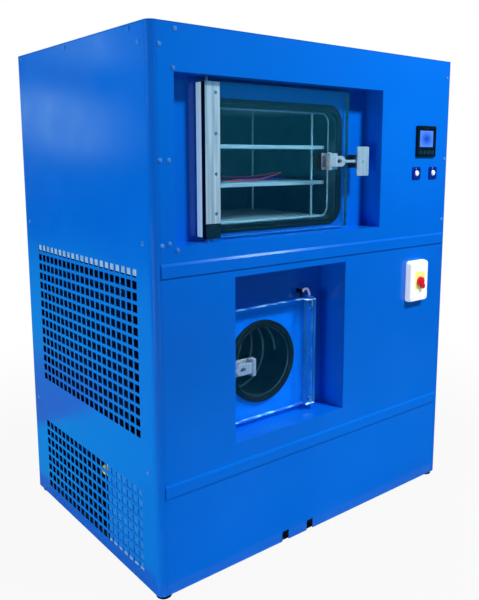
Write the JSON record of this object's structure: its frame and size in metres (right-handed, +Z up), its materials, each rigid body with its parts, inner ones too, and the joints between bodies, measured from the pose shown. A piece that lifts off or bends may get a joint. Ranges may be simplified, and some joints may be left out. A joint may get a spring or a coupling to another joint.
{
  "type": "freeze dryer",
  "caption": "Floor-standing laboratory freeze dryer: shelf chamber behind a clear door, round ice condenser below, square-punched side grilles.",
  "frame": {"origin": "middle of the object's footprint at floor level", "axes": "+X to the right as seen from the front, +Y from the front to the back, +Z up"},
  "size_m": [1.12, 0.8284, 1.4],
  "materials": {
    "blue_paint": "smooth semi-gloss blue enamel on sheet steel",
    "dark_steel": "dark grey painted steel",
    "stainless": "satin stainless steel",
    "brushed_aluminium": "fine vertical brushing",
    "seal_rubber": "matt black rubber",
    "black_plastic": "fine-grained black plastic",
    "white_plastic": "smooth white moulded plastic",
    "red_plastic": "glossy red moulded plastic",
    "red_jacket": "soft red cable jacket",
    "blue_jacket": "soft blue cable jacket",
    "screen": "lit pale blue display under a clear cover",
    "lit_plastic": "lit white translucent push-button cap",
    "pot_paint": "black enamel",
    "acrylic": "clear polished acrylic sheet with bright edges"
  },
  "bodies": {
    "cabinet": {"base_frame": "dark_steel", "cable_gland": "black_plastic", "chamber_seal": "seal_rubber", "compressor": "pot_paint", "condenser_seal": "seal_rubber", "condenser_vessel": "stainless", "controller_housing": "black_plastic", "controller_screen": "screen", "corner_post_front_left": "blue_paint", "corner_post_front_right": "blue_paint", "drain_outlet_left": "black_plastic", "drain_outlet_right": "black_plastic", "equipment_deck": "dark_steel", "fan_shroud": "dark_steel", "foot_front_left": "seal_rubber", "foot_front_right": "seal_rubber", "foot_rear_left": "seal_rubber", "foot_rear_right": "seal_rubber", "heat_exchanger": "brushed_aluminium", "ice_coil": "brushed_aluminium", "isolator_box": "white_plastic", "left_side_panel": "blue_paint", "lower_front_panel": "blue_paint", "lower_hinge_bottom_bracket": "blue_paint", "lower_hinge_top_bracket": "blue_paint", "lower_latch_keeper": "stainless", "lower_recess_liner": "blue_paint", "lower_shelf": "brushed_aluminium", "middle_front_panel": "blue_paint", "middle_shelf": "brushed_aluminium", "probe_lead_blue": "blue_jacket", "probe_lead_red": "red_jacket", "product_chamber": "stainless", "rear_frame": "dark_steel", "rear_panel": "blue_paint", "right_side_panel": "blue_paint", "roof_panel": "blue_paint", "shelf_rack": "stainless", "start_button_bezel": "black_plastic", "stop_button_bezel": "black_plastic", "upper_front_panel": "blue_paint", "upper_hinge_rod": "stainless", "upper_latch_keeper": "stainless", "upper_recess_liner": "blue_paint", "upper_shelf": "brushed_aluminium", "vacuum_pump": "pot_paint", "vapour_duct": "stainless", "vent_port": "black_plastic"},
    "upper_door": {"upper_door_plate": "acrylic", "upper_hinge_bar": "brushed_aluminium", "upper_latch_bracket": "stainless"},
    "upper_latch": {"upper_latch_arm": "stainless"},
    "lower_door": {"lower_door_plate": "acrylic", "lower_hinge_bar": "acrylic", "lower_latch_bracket": "stainless"},
    "lower_latch": {"lower_latch_arm": "stainless"},
    "start_push": {"start_button": "lit_plastic"},
    "stop_push": {"stop_button": "lit_plastic"},
    "isolator_handle": {"isolator_knob": "red_plastic"},
    "fan": {"fan_rotor": "black_plastic"}
  },
  "joints": [
    {"name": "upper_door_hinge", "type": "hinge", "parent": "cabinet", "child": "upper_door", "pos_m": [-0.384, -0.34975, 1.091], "axis": [0, 0, -1], "range_deg": [0, 110]},
    {"name": "upper_latch_pivot", "type": "hinge", "parent": "upper_door", "child": "upper_latch", "pos_m": [0.028, -0.35975, 1.088], "axis": [0, 0, -1], "range_deg": [0, 100]},
    {"name": "lower_door_hinge", "type": "hinge", "parent": "cabinet", "child": "lower_door", "pos_m": [0.0065, -0.31975, 0.5315], "axis": [0, 0, 1], "range_deg": [0, 105]},
    {"name": "lower_latch_pivot", "type": "hinge", "parent": "lower_door", "child": "lower_latch", "pos_m": [-0.2235, -0.32975, 0.5315], "axis": [0, 0, 1], "range_deg": [0, 100]},
    {"name": "start_press", "type": "slide", "parent": "cabinet", "child": "start_push", "axis": [0, 1, 0], "range_m": [0, 0.003], "stiffness_N_per_m": 400, "springref_m": -0.002},
    {"name": "stop_press", "type": "slide", "parent": "cabinet", "child": "stop_push", "axis": [0, 1, 0], "range_m": [0, 0.003], "stiffness_N_per_m": 400, "springref_m": -0.002},
    {"name": "isolator_turn", "type": "hinge", "parent": "cabinet", "child": "isolator_handle", "pos_m": [0.404, -0.40675, 0.708], "axis": [0, 1, 0], "range_deg": [0, 90]},
    {"name": "fan_spin", "type": "hinge", "parent": "cabinet", "child": "fan", "pos_m": [-0.457, 0.00875, 0.5613], "axis": [1, 0, 0], "continuous": true}
  ]
}
